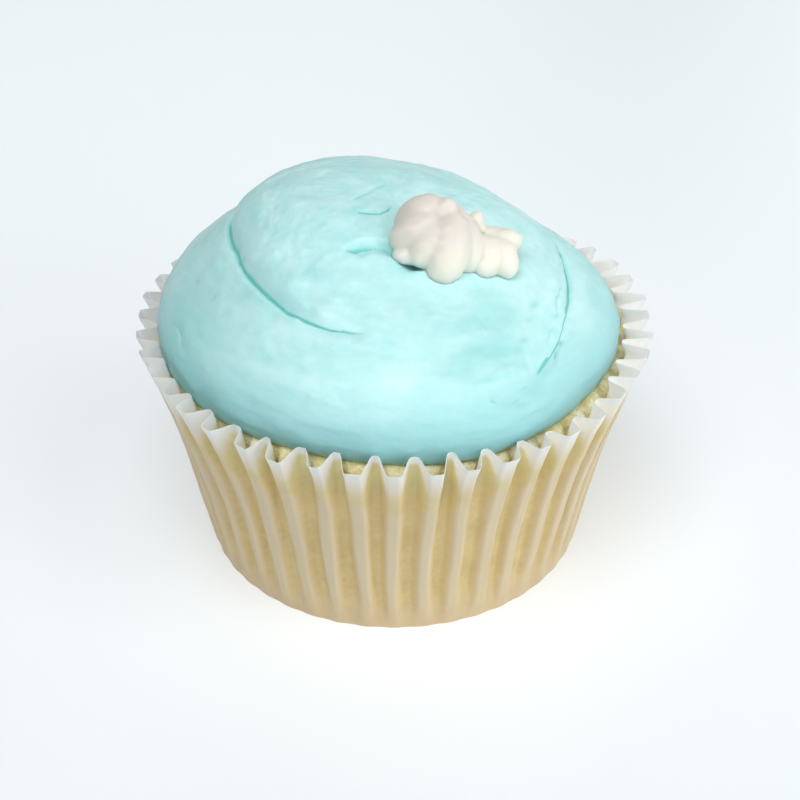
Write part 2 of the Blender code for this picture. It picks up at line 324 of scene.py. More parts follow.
def make_sponge(context):
    flutes = context.scene.cupcake_sizes.flutes
    shoulder = float(sponge_radius(SPONGE_SHOULDER))
    top = [shoulder * math.sin(math.pi / 2 * share) for share in np.linspace(0, 0.66, 8)]
    crust = [shoulder * math.sin(math.pi / 2 * share) for share in np.linspace(0.68, 1, 30)]
    profile = [(radius, float(sponge_top(radius))) for radius in top + crust]
    for height in np.linspace(SPONGE_SHOULDER - 0.25, 22.0, 16):
        profile.append((float(sponge_radius(height)), height))
    for height in np.linspace(20.0, SPONGE_BASE, 6):
        profile.append((float(sponge_radius(height)), height))
    profile.append((0.0, SPONGE_BASE))
    sponge = lathe("vanilla_sponge", profile, flutes * 16)

    def bake(x, y, z):
        angle = np.arctan2(y, x)
        radius = np.hypot(x, y)
        place = angle * flutes / math.tau
        strip = ease(23.0, 26.5, z) * ease(26.5, 28.5, radius)
        uneven = relief(np.round(place), z / 14.0, 11, flutes)
        swell = 0.9 * strip * ridge_share(place, z, uneven) * ease(30.0, 27.5, z)
        bubbles = relief(place * 6.0, z / 0.36, 21, flutes * 6)
        lumps = relief(place * 1.5, z / 1.3, 22, flutes * 3 // 2)
        rough = strip * (0.16 * lumps - 0.12 * np.abs(bubbles))
        new_radius = radius + swell + np.minimum(rough, 0.02)
        share = np.where(radius > 0.001, new_radius / np.maximum(radius, 0.001), 1.0)
        return x * share, y * share, z + strip * 0.12 * bubbles

    reshape(sponge, bake)
    finish_piece(sponge, sponge_material(context), "sponge", "sponge_cake")


# ---------------------------------------------------------------- buttercream

def turn_from_start(x, y):
    """Degrees clockwise from where the spiral ledge starts."""
    return np.degrees((LEDGE_START_ANGLE - np.arctan2(y, x)) % math.tau)


def ledge_radius(turn):
    """Radius of the spiral ledge's foot, measured from the cup's axis."""
    front = 1.4 * (1.0 - ease(12, 58, turn)) + 2.1 * ease(70, 108, turn)
    wobble = 0.10 * relief(turn / 360 * 54, turn * 0.0, 34, 54)
    return LEDGE_INNER_RADIUS + front + 7.1 * ease(264, 353, turn) + wobble


def ledge_drop(turn):
    """How far the surface steps down outside the ledge, as a share of its full drop."""
    return ease(-5, 85, turn) * (1.0 - 0.45 * ease(180, 280, turn)) * (1.0 - ease(300, 355, turn))


def plain_dome(share):
    return ICING_EDGE_HEIGHT + ICING_RISE * (1.0 - share ** ICING_DOME_POWER) ** ICING_EDGE_POWER


def lopsided(angle):
    """How much further out the rim lies than a round one."""
    drawn_in = ICING_DRAWN_IN * np.exp(-((np.degrees(angle) + 36.0) / 17.0) ** 2)
    return ICING_LEAN * np.sin(angle) + ICING_OVAL * np.sin(2.0 * angle) - drawn_in


def crease(x, y, path, depth, width, lift=0.0, reach=1.0):
    """A knife crease along (degrees, radius) points, its left side lifted as a fold."""
    x = x + 0.28 * relief(x / 1.1 + 40, y / 1.1 + 40, 36)
    y = y + 0.28 * relief(x / 1.1 + 40, y / 1.1 + 40, 37)
    corners = [(r * math.cos(math.radians(a)), r * math.sin(math.radians(a))) for a, r in path]
    total = sum(math.dist(*pair) for pair in zip(corners, corners[1:]))
    nearest = np.full(x.shape, 1e9)
    along = np.zeros(x.shape)
    side = np.zeros(x.shape)
    done = 0.0
    for (x0, y0), (x1, y1) in zip(corners, corners[1:]):
        dx, dy = x1 - x0, y1 - y0
        length = math.hypot(dx, dy)
        part = np.clip(((x - x0) * dx + (y - y0) * dy) / length ** 2, 0.0, 1.0)
        away = np.hypot(x - x0 - part * dx, y - y0 - part * dy)
        closer = away < nearest
        nearest = np.where(closer, away, nearest)
        along = np.where(closer, (done + part * length) / total, along)
        side = np.where(closer, dx * (y - y0) - dy * (x - x0), side)
        done += length
    taper = np.sqrt(np.clip(4.0 * along * (1.0 - along), 0.0, 1.0))
    groove = -depth * np.exp(-(nearest / width) ** 2)
    fold = lift * np.exp(-nearest / reach) * ease(-width, width, nearest * np.sign(side))
    return taper * (groove + fold)


# Each knife crease: its path, depth, width, fold height and how far the fold reaches.
CREASES = [
    ([(14, 21.8), (355, 20.8), (351, 21.1), (341, 21.3), (335, 21.6), (331, 22.3), (326, 22.8),
      (321, 23.5), (316, 24.5)], 0.40, 0.36, 0.18, 1.2),
    ([(331, 22.4), (324, 24.1), (320, 24.9), (315, 26.2)], 0.28, 0.40, 0.10, 1.0),
    ([(326, 22.6), (318, 24.2), (311, 25.5), (306, 26.7), (301, 27.4), (294, 27.8)],
     0.90, 1.10, 0.0, 1.0),
    ([(327, 20.1), (318, 21.4), (312, 22.8), (306, 23.7), (296, 24.4)], 0.18, 0.7, 0.0, 1.0),
    ([(305, 24.7), (301, 24.9), (295, 25.6), (288, 26.7)], 0.14, 0.35, 0.0, 1.0),
    ([(300, 21.0), (290, 22.6), (280, 23.6), (271, 24.0)], 0.10, 0.7, 0.0, 1.0),
    ([(216, 28.2), (211, 28.5), (206, 28.1), (200, 28.0), (193, 28.4)], 0.50, 0.35, 0.10, 0.8),
    ([(221, 29.1), (214, 28.9), (207, 29.1), (201, 29.0), (192, 29.5)], 0.60, 0.32, 0.15, 0.6),
    ([(325, 28.5), (320, 28.9), (314, 29.5)], 0.16, 0.45, 0.25, 0.8),
    ([(318, 27.7), (313, 28.3), (308, 28.8)], 0.14, 0.45, 0.20, 0.8),
    ([(266, 27.6), (256, 27.2), (246, 27.4)], 0.08, 0.6, 0.0, 1.0),
    ([(236, 22.2), (250, 23.2), (262, 23.4), (272, 22.8)], 0.06, 0.5, 0.0, 1.0),
    ([(219, 5.6), (228, 4.3), (241, 3.4), (249, 2.4), (259, 1.3)], 0.40, 0.34, 0.25, 1.2),
    ([(196, 5.0), (180, 4.0), (150, 3.4), (110, 3.9)], 0.20, 0.36, 0.0, 1.0),
]

# Each knife scrape, and each spot of painted shade: its place in degrees and radius, half length, half
# width and strength.
SCRAPE_AND_SHADE_SPOTS = [
    (325, 20.3, 0.9, 0.40, 0.8), (311, 23.0, 0.8, 0.45, 0.7), (307, 23.7, 0.8, 0.5, 0.6),
    (301, 23.4, 1.9, 0.6, 0.6), (304, 19.5, 0.6, 0.3, 0.6), (301, 24.9, 0.8, 0.25, 0.6),
    (293, 26.0, 1.5, 0.2, 0.7), (285, 24.7, 1.6, 0.5, 0.5), (293, 22.7, 1.6, 0.6, 0.5),
    (318, 21.3, 0.8, 0.3, 0.6), (193, 24.5, 0.5, 0.3, 0.8), (205, 23.7, 0.3, 0.6, 0.6),
    # The spot at 275 degrees, 11.2 mm out, is painted shade in the gap under the rosette's lip.
    (275, 11.2, 1.6, 1.2, 1.0),
    (197, 21.4, 0.3, 0.4, 0.4), (269, 21.3, 0.7, 0.3, 0.4), (283, 18.0, 0.5, 0.3, 0.5),
]


def scraped_and_shaded(x, y):
    """1 on knife scrapes and on spots of painted shade, fading to 0 around it."""
    radius = np.hypot(x, y)
    bearing = np.degrees(np.arctan2(y, x))
    mask = np.zeros(x.shape)
    for azimuth, distance, length, width, strength in SCRAPE_AND_SHADE_SPOTS:
        turn = (bearing - azimuth + 180.0) % 360.0 - 180.0
        along = np.radians(turn) * distance / length
        across = (radius - distance) / width
        mask = np.maximum(mask, strength * np.exp(-along ** 2 - across ** 2))
    return mask


DIP_ARC_CENTRE = (-1.65, -13.7)
DIP_ARC_RADIUS = 6.06


def knife_dip(x, y):
    """The crescent where the knife left the icing: a sharp far edge and a floor that rises."""
    east = x - DIP_ARC_CENTRE[0]
    north = y - DIP_ARC_CENTRE[1]
    inside = DIP_ARC_RADIUS - np.hypot(east, north)
    bearing = np.degrees(np.arctan2(north, east))
    ends = ease(20, 45, bearing) * (1.0 - ease(118, 142, bearing))
    under_rosette = ease(0.0, 4.0, x)
    far_edge = ease(-0.05, 0.40, inside)
    floor = 1.0 - ease(0.2, 3.0 + 1.5 * under_rosette, inside)
    return (1.4 + 0.4 * under_rosette) * ends * far_edge * floor


def knife_streaks(x, y, share):
    """Low ripples that run round the dome with the knife."""
    turn = turn_from_start(x, y)
    across = share * ICING_RADIUS * LEDGE_INNER_RADIUS / ledge_radius(turn * (turn < 325))
    rough = 0.55 * ease(2.0, 9.0, np.hypot(x, y)) + 0.45 * ease(10.0, 18.0, np.hypot(x, y))
    broad = 0.20 * relief(turn / 360 * 16, across / 4.5, 31, 16)
    middle = 0.12 * relief(turn / 360 * 40, across / 1.7, 32, 40)
    fine = 0.07 * relief(turn / 360 * 90, across / 0.8, 33, 90)
    finest = 0.04 * relief(turn / 360 * 144, across / 0.5, 35, 144)
    return (broad + (middle + fine + finest) * rough) * ease(0.05, 0.25, share)


def icing_height(x, y, dipped=True):
    """Height of the buttercream's surface over a place."""
    east = x - ICING_OFFSET
    angle = np.arctan2(y, east)
    outward = np.hypot(east, y)
    swell = lopsided(angle)
    share = outward / ICING_RADIUS
    for _ in range(3):
        share = (outward - swell * share * share) / ICING_RADIUS
    share = np.clip(share, 0.0, 1.0)
    turn = turn_from_start(x, y)
    inside = ledge_radius(turn) - np.hypot(x, y)
    near = np.clip(inside / LEDGE_WIDTH, 0.0, 1.0)
    drop = bpy.context.scene.cupcake_sizes.ledge_drop / MM * ledge_drop(turn)
    rim_fade = 1.0 - share ** 8
    lowered = 1.0 - np.sqrt(near * (2.0 - near))
    line = ease(-1, 24, turn) * (1.0 - ease(270, 305, turn))
    lowered = lowered * drop + line * 0.60 * np.exp(-(inside / 0.50) ** 2)
    lowered = lowered + 0.25 * line * np.exp(np.minimum(inside, 0.0) / 1.5) * (inside < 0)
    height = plain_dome(share) - lowered * rim_fade
    height = height + (1.0 - share ** 2) * (ICING_TILT_X * x + ICING_TILT_Y * y)
    height = height + knife_streaks(x, y, share) * rim_fade
    for path, depth, width, lift, reach in CREASES:
        height = height + crease(x, y, path, depth, width, lift, reach)
    height = height - 0.10 * scraped_and_shaded(x, y)
    if dipped:
        height = height - knife_dip(x, y)
    return height


def follow_ledge(radius, angle):
    """Stretch the blank's rows so that one of them runs along the ledge's foot."""
    turn = turn_from_start(np.cos(angle), np.sin(angle))
    guide = 1.4 + (ledge_radius(turn) - LEDGE_INNER_RADIUS - 1.4) * (1.0 - ease(325, 358, turn))
    outward = np.where(turn > 180, guide, ledge_radius(turn) - LEDGE_INNER_RADIUS)
    ledge = LEDGE_INNER_RADIUS + outward - ICING_OFFSET * np.cos(angle)
    beyond = (ICING_RADIUS - radius) / (ICING_RADIUS - LEDGE_INNER_RADIUS)
    return np.where(radius <= LEDGE_INNER_RADIUS, radius * ledge / LEDGE_INNER_RADIUS,
                    ICING_RADIUS - beyond * (ICING_RADIUS - ledge))


def icing_limit(height):
    """Largest radius of the icing, inside the paper's folds and over its rim."""
    above = np.maximum(0.0, height - CUP_HEIGHT - FOLD_RIM_RISE)
    return fold_radius(np.minimum(height, CUP_HEIGHT)) - 0.15 + 2.0 * above


def spread(x, y, z):
    """Spread the blank as the palette knife would."""
    angle = np.arctan2(y, x)
    radius = np.hypot(x, y)
    under = (z < sponge_top(radius) + 0.5) & (radius < ICING_UNDER_RADIUS)
    on_top = z >= ICING_EDGE_HEIGHT - 0.001
    row = np.where(on_top, follow_ledge(radius, angle), ICING_RADIUS)
    share = np.clip(row / ICING_RADIUS, 0.0, 1.0)
    outward = row + lopsided(angle) * share * share
    place_x = outward * np.cos(angle) + ICING_OFFSET
    place_y = outward * np.sin(angle)
    top = icing_height(place_x, place_y)
    down = row - top
    ripple = 0.12 * relief(angle / math.tau * 50, down / 1.6, 43, 50)
    ripple = ripple + 0.06 * relief(angle / math.tau * 110, down / 0.8, 48, 110)
    ripple = ripple + 0.03 * relief(angle / math.tau * 180, down / 0.45, 49, 180)
    ripple = ripple * share ** 4
    place_x = place_x + ripple * np.cos(angle)
    place_y = place_y + ripple * np.sin(angle)
    tuck = np.where(on_top, 0.0, (ICING_RADIUS - radius) / ICING_FOOT_TUCK)
    length = np.hypot(place_x, place_y)
    bearings, foot_radii = zip(*ICING_FOOT)
    foot = np.interp(np.degrees(np.arctan2(place_y, place_x)), bearings, foot_radii)
    edge = 0.22 * relief(angle / math.tau * 26, z * 0.0, 41, 26)
    edge = edge + 0.10 * relief(angle / math.tau * 90, z * 0.0, 42, 90)
    wanted = length + tuck * (foot + edge - length)
    wanted = np.where(on_top & (share < 0.999), length, np.minimum(wanted, icing_limit(z)))
    pull = wanted / np.maximum(length, 0.001)
    place_x, place_y = place_x * pull, place_y * pull
    low = ease(ICING_EDGE_HEIGHT, ICING_FOOT_HEIGHT, z)
    height = np.where(on_top, top, z + 0.5 * edge * low)
    return (np.where(under, x, place_x), np.where(under, y, place_y),
            np.where(under, z, height))


def make_icing(context):
    inner = LEDGE_INNER_RADIUS * np.linspace(0.0, 1.0, 112) ** 0.8
    outer = ICING_RADIUS - LEDGE_INNER_RADIUS
    shares = np.linspace(0.0, 1.0, 78)[1:]
    outer_rows = LEDGE_INNER_RADIUS + outer * (1.0 - (1.0 - shares ** 1.3) ** 1.35)
    radii = np.concatenate([inner, outer_rows])
    radii[-1] = ICING_RADIUS
    profile = [(radius, float(plain_dome(radius / ICING_RADIUS))) for radius in radii]
    for share in np.linspace(0.0, 1.0, 15)[1:]:
        tuck = ICING_FOOT_TUCK * (1.0 - math.sqrt(1.0 - share * share))
        height = ICING_EDGE_HEIGHT + (ICING_FOOT_HEIGHT - ICING_EDGE_HEIGHT) * share
        profile.append((ICING_RADIUS - tuck, height))
    for radius in np.linspace(ICING_UNDER_RADIUS - 0.1, 0.0, 8):
        profile.append((radius, float(sponge_top(radius)) + 0.05))
    icing = lathe("buttercream", profile, 440)
    reshape(icing, spread)
    x, y, z = points_of(icing)
    # The hollow measure feeds painted shade in the creases, faded out near the rim.
    hollow = np.clip(hollows(icing, 2) / 2.0, 0.0, 1.0)
    paint(icing, "hollow", hollow * ease(31.3, 33.0, z))
    greener = 0.45 * np.exp(-((x - 11.5) / 6.0) ** 2 - ((y + 20.0) / 5.0) ** 2)
    # Painted shade: a patch deepening the colour on the icing's shaded left side.
    left_shade_patch = 0.5 * np.exp(-((x + 25.0) / 7.0) ** 2 - ((y + 13.0) / 9.0) ** 2)
    scrubbed = ease(0.2, 0.9, relief(turn_from_start(x, y) / 8.0, np.hypot(x, y) / 1.2, 44, 45))
    paint(icing, "scraped_and_shaded", np.clip(scraped_and_shaded(x, y) + greener * (1.0 + scrubbed) + left_shade_patch, 0.0, 1.0))
    around = turn_from_start(x, y) / 360
    down = np.hypot(x, y) - z
    streaks = 0.40 * relief(around * 24, down / 2.6, 45, 24)
    streaks = streaks + 0.20 * relief(around * 60, down / 1.2, 46, 60)
    streaks = streaks + 0.10 * relief(around * 120, down / 0.6, 47, 120)
    paint(icing, "streaks", np.clip(0.5 + streaks, 0.0, 1.0))
    finish_piece(icing, icing_material(context), "buttercream", "buttercream_swirl")


# ---------------------------------------------------------------- rosette

def cream_lobe(foot, top, width):
    """One soft lobe of cream lying between two points, in millimetres."""
    foot, top = Vector(foot), Vector(top)
    along = top - foot
    deselect_all()
    bpy.ops.mesh.primitive_uv_sphere_add(
        segments=40, ring_count=24, radius=MM, location=(foot + top) / 2 * MM,
        rotation=along.to_track_quat("Z", "Y").to_euler(),
        scale=(width, width, along.length / 2 + 0.55 * width))
    bpy.ops.object.transform_apply(location=True, rotation=True, scale=True)
    return bpy.context.active_object


# Each lobe of the two piped drops: where its foot and its top are, and its half width.
LARGE_LOBES = [
    ((4.6, -7.4, 44.0), (5.4, -6.6, 46.4), 4.6),
    ((5.6, -11.3, 43.3), (7.0, -7.4, 47.8), 2.8),
    ((3.2, -10.3, 45.0), (5.8, -8.2, 47.2), 2.3),
    ((0.8, -7.9, 45.7), (4.8, -7.4, 47.9), 2.6),
    ((1.6, -5.8, 46.6), (5.0, -5.8, 48.9), 2.7),
    ((8.8, -8.9, 43.3), (7.8, -6.4, 47.1), 2.3),
    ((1.8, -3.8, 45.2), (5.4, -5.6, 48.2), 2.6),
    ((6.2, -2.8, 44.2), (6.6, -5.4, 47.8), 2.5),
    ((8.8, -4.6, 43.6), (7.7, -5.9, 47.4), 2.1),
    ((0.4, -9.7, 44.8), (2.8, -9.7, 44.7), 1.35),
    ((5.3, -6.5, 47.4), (6.4, -6.3, 49.8), 1.6),
    ((9.5, -3.8, 45.0), (10.0, -3.2, 46.7), 1.15),
]
SMALL_LOBES = [
    ((12.0, -6.2, 42.6), (12.0, -6.2, 43.9), 2.8),
    ((9.9, -7.4, 43.4), (9.8, -6.4, 44.6), 2.3),
    ((10.8, -9.1, 42.6), (11.7, -6.6, 44.6), 1.9),
    ((13.5, -8.6, 42.2), (12.6, -6.4, 44.2), 1.8),
    ((14.6, -4.4, 43.9), (12.6, -5.4, 44.6), 1.5),
    ((12.0, -3.2, 43.4), (12.1, -5.0, 44.6), 1.6),
    ((10.2, -3.4, 44.6), (9.9, -4.0, 46.0), 1.1),
]


def make_rosette(context):
    lobes = [cream_lobe(*lobe) for lobe in LARGE_LOBES + SMALL_LOBES]
    deselect_all()
    for lobe in lobes:
        lobe.select_set(True)
    rosette = lobes[0]
    rosette.name = rosette.data.name = "cream_rosette_piped"
    bpy.context.view_layer.objects.active = rosette
    bpy.ops.object.join()
    apply_modifier(rosette, "REMESH", mode="VOXEL", voxel_size=0.14 * MM, use_smooth_shade=True)
    apply_modifier(rosette, "SMOOTH", factor=0.5, iterations=28)

    def seat(x, y, z):
        surface = icing_height(x, y, dipped=False)
        wobble = 0.10 * relief(x / 1.3 + 40, (y + z) / 1.3 + 40, 51)
        return x + wobble, y + wobble, np.maximum(z, surface - 0.05)

    reshape(rosette, seat)
    # The hollow measure feeds painted shade between the lobes.
    paint(rosette, "hollow", np.clip(hollows(rosette, 4) / 2.5, 0.0, 1.0))
    finish_piece(rosette, cream_material(context), "cream", "cream_rosette")


# ---------------------------------------------------------------- materials

def new_material(name):
    """A material with its Principled BSDF, and a function that adds nodes to it."""
    material = bpy.data.materials.new(name)
    material.use_nodes = True
    return material, material.node_tree, material.node_tree.nodes["Principled BSDF"]


def add(tree, kind, settings=None, **inputs):
    """A node with its settings made and its inputs filled or linked, by socket name."""
    node = tree.nodes.new(kind)
    for name, value in (settings or {}).items():
        setattr(node, name, value)
    for name, value in inputs.items():
        socket = node.inputs[int(name[1:]) if name[0] == "n" and name[1:].isdigit() else
                             name.replace("_", " ")]
        if isinstance(value, bpy.types.NodeSocket):
            tree.links.new(value, socket)
        else:
            socket.default_value = value
    return node


def math_node(tree, operation, first, second=0.0):
    return add(tree, "ShaderNodeMath", {"operation": operation}, n0=first, n1=second).outputs[0]


def mix_colour(tree, share, first, second, blend="MIX"):
    node = add(tree, "ShaderNodeMix", {"data_type": "RGBA", "blend_type": blend})
    for socket, value in ((node.inputs[0], share), (node.inputs[6], first), (node.inputs[7], second)):
        if isinstance(value, bpy.types.NodeSocket):
            tree.links.new(value, socket)
        else:
            socket.default_value = value
    return node.outputs[2]


def ramp(tree, value, low, high):
    """0 below low, 1 above high."""
    node = add(tree, "ShaderNodeMapRange", {"interpolation_type": "SMOOTHSTEP"}, Value=value)
    node.inputs["From Min"].default_value = low
    node.inputs["From Max"].default_value = high
    return node.outputs["Result"]


def noise(tree, vector, size_mm, detail=3.0, roughness=0.5):
    node = add(tree, "ShaderNodeTexNoise", Vector=vector, Detail=detail, Roughness=roughness)
    node.inputs["Scale"].default_value = 1.0 / (size_mm * MM)
    return node.outputs["Fac"]


def object_place(tree):
    return add(tree, "ShaderNodeTexCoord").outputs["Object"]


def attribute(tree, name):
    return add(tree, "ShaderNodeAttribute", {"attribute_name": name}).outputs["Fac"]


def height_of(tree, place):
    return add(tree, "ShaderNodeSeparateXYZ", Vector=place).outputs["Z"]


def bump(tree, height, distance_mm, strength=1.0):
    node = add(tree, "ShaderNodeBump", Height=height, Strength=strength)
    node.inputs["Distance"].default_value = distance_mm * MM
    return node.outputs["Normal"]


def rgba(colour):
    return (*colour, 1.0)


def mottle_group():
    """Shared group: soft blotches over an object, as a mask, from two sizes of noise."""
    name = "Soft mottling"
    if name in bpy.data.node_groups:
        return bpy.data.node_groups[name]
    group = bpy.data.node_groups.new(name, "ShaderNodeTree")
    sockets = group.interface
    sockets.new_socket("Place", in_out="INPUT", socket_type="NodeSocketVector")
    sockets.new_socket("Blotches", in_out="INPUT", socket_type="NodeSocketFloat")
    sockets.new_socket("Specks", in_out="INPUT", socket_type="NodeSocketFloat")
    sockets.new_socket("Mask", in_out="OUTPUT", socket_type="NodeSocketFloat")
    start = group.nodes.new("NodeGroupInput")
    end = group.nodes.new("NodeGroupOutput")
    broad = add(group, "ShaderNodeTexNoise", Vector=start.outputs["Place"],
                Scale=start.outputs["Blotches"], Detail=3.0)
    fine = add(group, "ShaderNodeTexNoise", Vector=start.outputs["Place"],
               Scale=start.outputs["Specks"], Detail=2.0)
    both = math_node(group, "ADD", math_node(group, "MULTIPLY", broad.outputs["Fac"], 0.65),
                     math_node(group, "MULTIPLY", fine.outputs["Fac"], 0.35))
    group.links.new(ramp(group, both, 0.36, 0.64), end.inputs["Mask"])
    return group


def mottled(tree, place, blotch_mm, speck_mm):
    node = tree.nodes.new("ShaderNodeGroup")
    node.node_tree = mottle_group()
    tree.links.new(place, node.inputs["Place"])
    node.inputs["Blotches"].default_value = 1.0 / (blotch_mm * MM)
    node.inputs["Specks"].default_value = 1.0 / (speck_mm * MM)
    return node.outputs["Mask"]


def paper_material(context):
    """Greaseproof paper: white where it stands off the sponge, golden where butter soaks it."""
    colours = context.scene.cupcake_colours
    material, tree, shader = new_material("Greaseproof paper")
    place = object_place(tree)
    height = height_of(tree, place)
    patches = mottled(tree, place, 5.0, 0.9)
    soaked = mix_colour(tree, patches, rgba(colours.soaked_paper), rgba(colours.soaked_paper_dark))
    low = math_node(tree, "SUBTRACT", 1.0, ramp(tree, height, 0.5 * MM, 7.0 * MM))
    soaked = mix_colour(tree, math_node(tree, "MULTIPLY", low, 0.6), soaked,
                        rgba(colours.paper_foot))
    high = ramp(tree, height, 22.0 * MM, 27.0 * MM)
    soaked = mix_colour(tree, math_node(tree, "MULTIPLY", high, 0.8), soaked,
                        rgba(colours.soaked_paper_high))
    dry = mix_colour(tree, ramp(tree, height, 24.0 * MM, 31.0 * MM), rgba(colours.ridge_paper),
                     rgba(colours.rim_paper))
    dry = mix_colour(tree, math_node(tree, "MULTIPLY", patches, 0.18), dry,
                     rgba(colours.soaked_paper))
    colour = mix_colour(tree, attribute(tree, "soak"), dry, soaked)
    tree.links.new(colour, shader.inputs["Base Color"])
    rough = math_node(tree, "SUBTRACT", 0.55,
                      math_node(tree, "MULTIPLY", attribute(tree, "soak"), 0.15))
    tree.links.new(rough, shader.inputs["Roughness"])
    flattened = add(tree, "ShaderNodeVectorMath", {"operation": "MULTIPLY"}, n0=place,
                    n1=(1.0, 1.0, 2.2)).outputs["Vector"]
    grain = noise(tree, flattened, 0.8, 4.0, 0.6)
    tree.links.new(bump(tree, grain, 0.08, 0.6), shader.inputs["Normal"])
    shader.inputs["Subsurface Weight"].default_value = 0.45
    shader.inputs["Subsurface Radius"].default_value = (1.0, 0.95, 0.9)
    shader.inputs["Subsurface Scale"].default_value = 0.9 * MM
    shader.inputs["Specular IOR Level"].default_value = 0.25
    return material


def sponge_material(context):
    """Golden crust, moist and finely pitted."""
    colours = context.scene.cupcake_colours
    material, tree, shader = new_material("Vanilla sponge")
    place = object_place(tree)
    patches = mottled(tree, place, 1.6, 0.35)
    colour = mix_colour(tree, patches, rgba(colours.crust), rgba(colours.crust_light))
    tree.links.new(colour, shader.inputs["Base Color"])
    wet = ramp(tree, noise(tree, place, 0.5, 2.0), 0.45, 0.7)
    rough = math_node(tree, "SUBTRACT", 0.6, math_node(tree, "MULTIPLY", wet, 0.4))
    tree.links.new(rough, shader.inputs["Roughness"])
    tree.links.new(wet, shader.inputs["Coat Weight"])
    shader.inputs["Coat Roughness"].default_value = 0.12
    pores = noise(tree, place, 0.28, 3.0, 0.6)
    tree.links.new(bump(tree, pores, 0.30, 1.0), shader.inputs["Normal"])
    shader.inputs["Subsurface Weight"].default_value = 0.3
    shader.inputs["Subsurface Radius"].default_value = (1.0, 0.6, 0.25)
    shader.inputs["Subsurface Scale"].default_value = 1.0 * MM
    return material


def icing_material(context):
    """Satin buttercream, with painted shade in its creases, towards its rim and on a few shaded spots.
    """
    colours = context.scene.cupcake_colours
    material, tree, shader = new_material("Turquoise buttercream")
    place = object_place(tree)
    patches = mottled(tree, place, 6.0, 1.4)
    deeper = math_node(tree, "ADD", math_node(tree, "MULTIPLY", patches, 0.35),
                       math_node(tree, "MULTIPLY", attribute(tree, "streaks"), 0.65))
    colour = mix_colour(tree, deeper, rgba(colours.icing), rgba(colours.icing_deep))
    # Painted shade: the buttercream darker and deeper in colour towards the rim.
    low = ramp(tree, height_of(tree, place), 37.5 * MM, 30.5 * MM)
    colour = mix_colour(tree, low, colour, rgba(colours.icing_low_shade))
    # Knife scrapes and painted shade together: the mask's spots deepen the colour.
    thin = math_node(tree, "MULTIPLY", attribute(tree, "scraped_and_shaded"), 0.7)
    colour = mix_colour(tree, thin, colour, rgba(colours.icing_scrape_and_shade))
    # Painted shade down in the buttercream's creases.
    crevice_shade = ramp(tree, attribute(tree, "hollow"), 0.14, 0.8)
    colour = mix_colour(tree, crevice_shade, colour, rgba(colours.icing_crease_shade))
    tree.links.new(colour, shader.inputs["Base Color"])
    rough = math_node(tree, "ADD", 0.42, math_node(tree, "MULTIPLY", patches, 0.12))
    tree.links.new(rough, shader.inputs["Roughness"])
    grain = noise(tree, place, 0.9, 4.0, 0.55)
    tree.links.new(bump(tree, grain, 0.08, 0.8), shader.inputs["Normal"])
    shader.inputs["Subsurface Weight"].default_value = 0.4
    shader.inputs["Subsurface Radius"].default_value = (0.5, 1.0, 0.95)
    shader.inputs["Subsurface Scale"].default_value = 0.8 * MM
    shader.inputs["Specular IOR Level"].default_value = 0.35
    return material


def cream_material(context):
    """White piped cream, a little translucent, with painted shade between its lobes and on its highest
    swirl.
    """
    colours = context.scene.cupcake_colours
    material, tree, shader = new_material("Piped cream")
    place = object_place(tree)
    patches = mottled(tree, place, 3.0, 0.8)
    colour = mix_colour(tree, math_node(tree, "MULTIPLY", patches, 0.4), rgba(colours.cream),
                        rgba(colours.cream_warm))
    # Painted shade: the rosette's highest swirl darker.
    high = ramp(tree, height_of(tree, place), 44.5 * MM, 49.0 * MM)
    colour = mix_colour(tree, high, colour, rgba(colours.cream_top_shade))
    # Painted shade between the lobes.
    crevice_shade = ramp(tree, attribute(tree, "hollow"), 0.05, 0.7)
    colour = mix_colour(tree, math_node(tree, "MULTIPLY", crevice_shade, 0.6), colour,
                        rgba(colours.cream_crease_shade))
    tree.links.new(colour, shader.inputs["Base Color"])
    rough = math_node(tree, "ADD", 0.42, math_node(tree, "MULTIPLY", patches, 0.1))
    tree.links.new(rough, shader.inputs["Roughness"])
    grain = noise(tree, place, 0.4, 3.0)
    tree.links.new(bump(tree, grain, 0.04, 0.6), shader.inputs["Normal"])
    shader.inputs["Subsurface Weight"].default_value = 1.0
    shader.inputs["Subsurface Radius"].default_value = (1.0, 0.95, 0.75)
    shader.inputs["Subsurface Scale"].default_value = 1.8 * MM
    shader.inputs["Specular IOR Level"].default_value = 0.35
    return material


# ---------------------------------------------------------------- stage

def studio_light(name, azimuth, elevation, width, strength, colour=(1.0, 1.0, 1.0)):
    """A soft box aimed at the cake; azimuth 0 is the camera's side and 90 its right."""
    distance = 2.0
    light = bpy.data.lights.new(name, "AREA")
    light.energy = math.pi ** 2 * distance ** 2 * strength
    light.size = width
    light.color = colour
    lamp = bpy.data.objects.new(name, light)
    bpy.context.scene.collection.objects.link(lamp)
    side, up = math.radians(azimuth), math.radians(elevation)
    lamp.location = (distance * math.sin(side) * math.cos(up),
                     -distance * math.cos(side) * math.cos(up), distance * math.sin(up))
    lamp.rotation_euler = lamp.location.to_track_quat("Z", "Y").to_euler()


